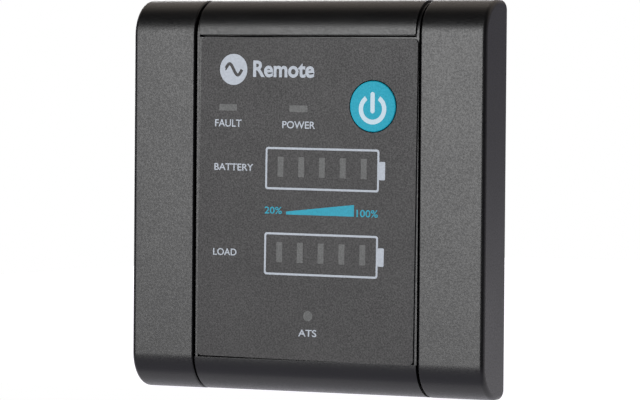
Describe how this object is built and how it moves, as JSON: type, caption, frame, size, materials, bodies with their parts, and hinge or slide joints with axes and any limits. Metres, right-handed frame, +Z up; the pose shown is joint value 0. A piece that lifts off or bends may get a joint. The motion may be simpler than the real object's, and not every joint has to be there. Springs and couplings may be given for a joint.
{
  "type": "wall remote control and display panel",
  "caption": "Flush wall panel with rolled top and bottom edges, pull-off side covers, lamp windows, a round push button and a rear socket.",
  "frame": {"origin": "centre of the panel on the wall plane", "axes": "+X to the right seen from the room, +Y into the wall, +Z up; the front faces -Y"},
  "size_m": [0.096, 0.0258, 0.096],
  "materials": {
    "charcoal_abs": "fine spark-eroded satin",
    "black_abs": "satin",
    "overlay_film": "fine textured film",
    "teal_cap": "satin gloss",
    "milky_lens": "translucent",
    "board_green": "solder mask",
    "package_black": "moulded",
    "aluminium_can": "drawn",
    "gold_plate": "bright",
    "zinc_steel": "bright zinc",
    "white_ink": "screen print",
    "teal_ink": "screen print"
  },
  "bodies": {
    "panel": {"front_bezel": "charcoal_abs", "top_cap": "charcoal_abs", "graphic_overlay": "overlay_film", "tactile_switch": "package_black", "fault_led": "milky_lens", "power_led": "milky_lens", "battery_led_1": "milky_lens", "battery_led_2": "milky_lens", "battery_led_3": "milky_lens", "battery_led_4": "milky_lens", "battery_led_5": "milky_lens", "load_led_1": "milky_lens", "load_led_2": "milky_lens", "load_led_3": "milky_lens", "load_led_4": "milky_lens", "load_led_5": "milky_lens", "transfer_led": "milky_lens", "circuit_board": "board_green", "microcontroller": "package_black", "voltage_regulator": "package_black", "capacitor": "aluminium_can", "data_socket": "package_black", "socket_contacts": "gold_plate", "rear_housing": "black_abs", "mounting_frame": "black_abs", "board_screw_1": "zinc_steel", "board_screw_2": "zinc_steel", "board_screw_3": "zinc_steel", "board_screw_4": "zinc_steel", "housing_screw_1": "zinc_steel", "housing_screw_2": "zinc_steel", "housing_screw_3": "zinc_steel", "housing_screw_4": "zinc_steel"},
    "button": {"power_button": "teal_cap", "switch_plunger": "black_abs"},
    "left_side": {"left_cover": "charcoal_abs"},
    "right_side": {"right_cover": "charcoal_abs"}
  },
  "joints": [
    {"name": "button_press", "type": "slide", "parent": "panel", "child": "button", "axis": [0, 1, 0], "range_m": [0, 0.0005], "stiffness_N_per_m": 1200, "springref_m": -0.0005},
    {"name": "left_cover_pull", "type": "slide", "parent": "panel", "child": "left_side", "axis": [0, -1, 0], "range_m": [0, 0.014]},
    {"name": "right_cover_pull", "type": "slide", "parent": "panel", "child": "right_side", "axis": [0, -1, 0], "range_m": [0, 0.014]}
  ]
}
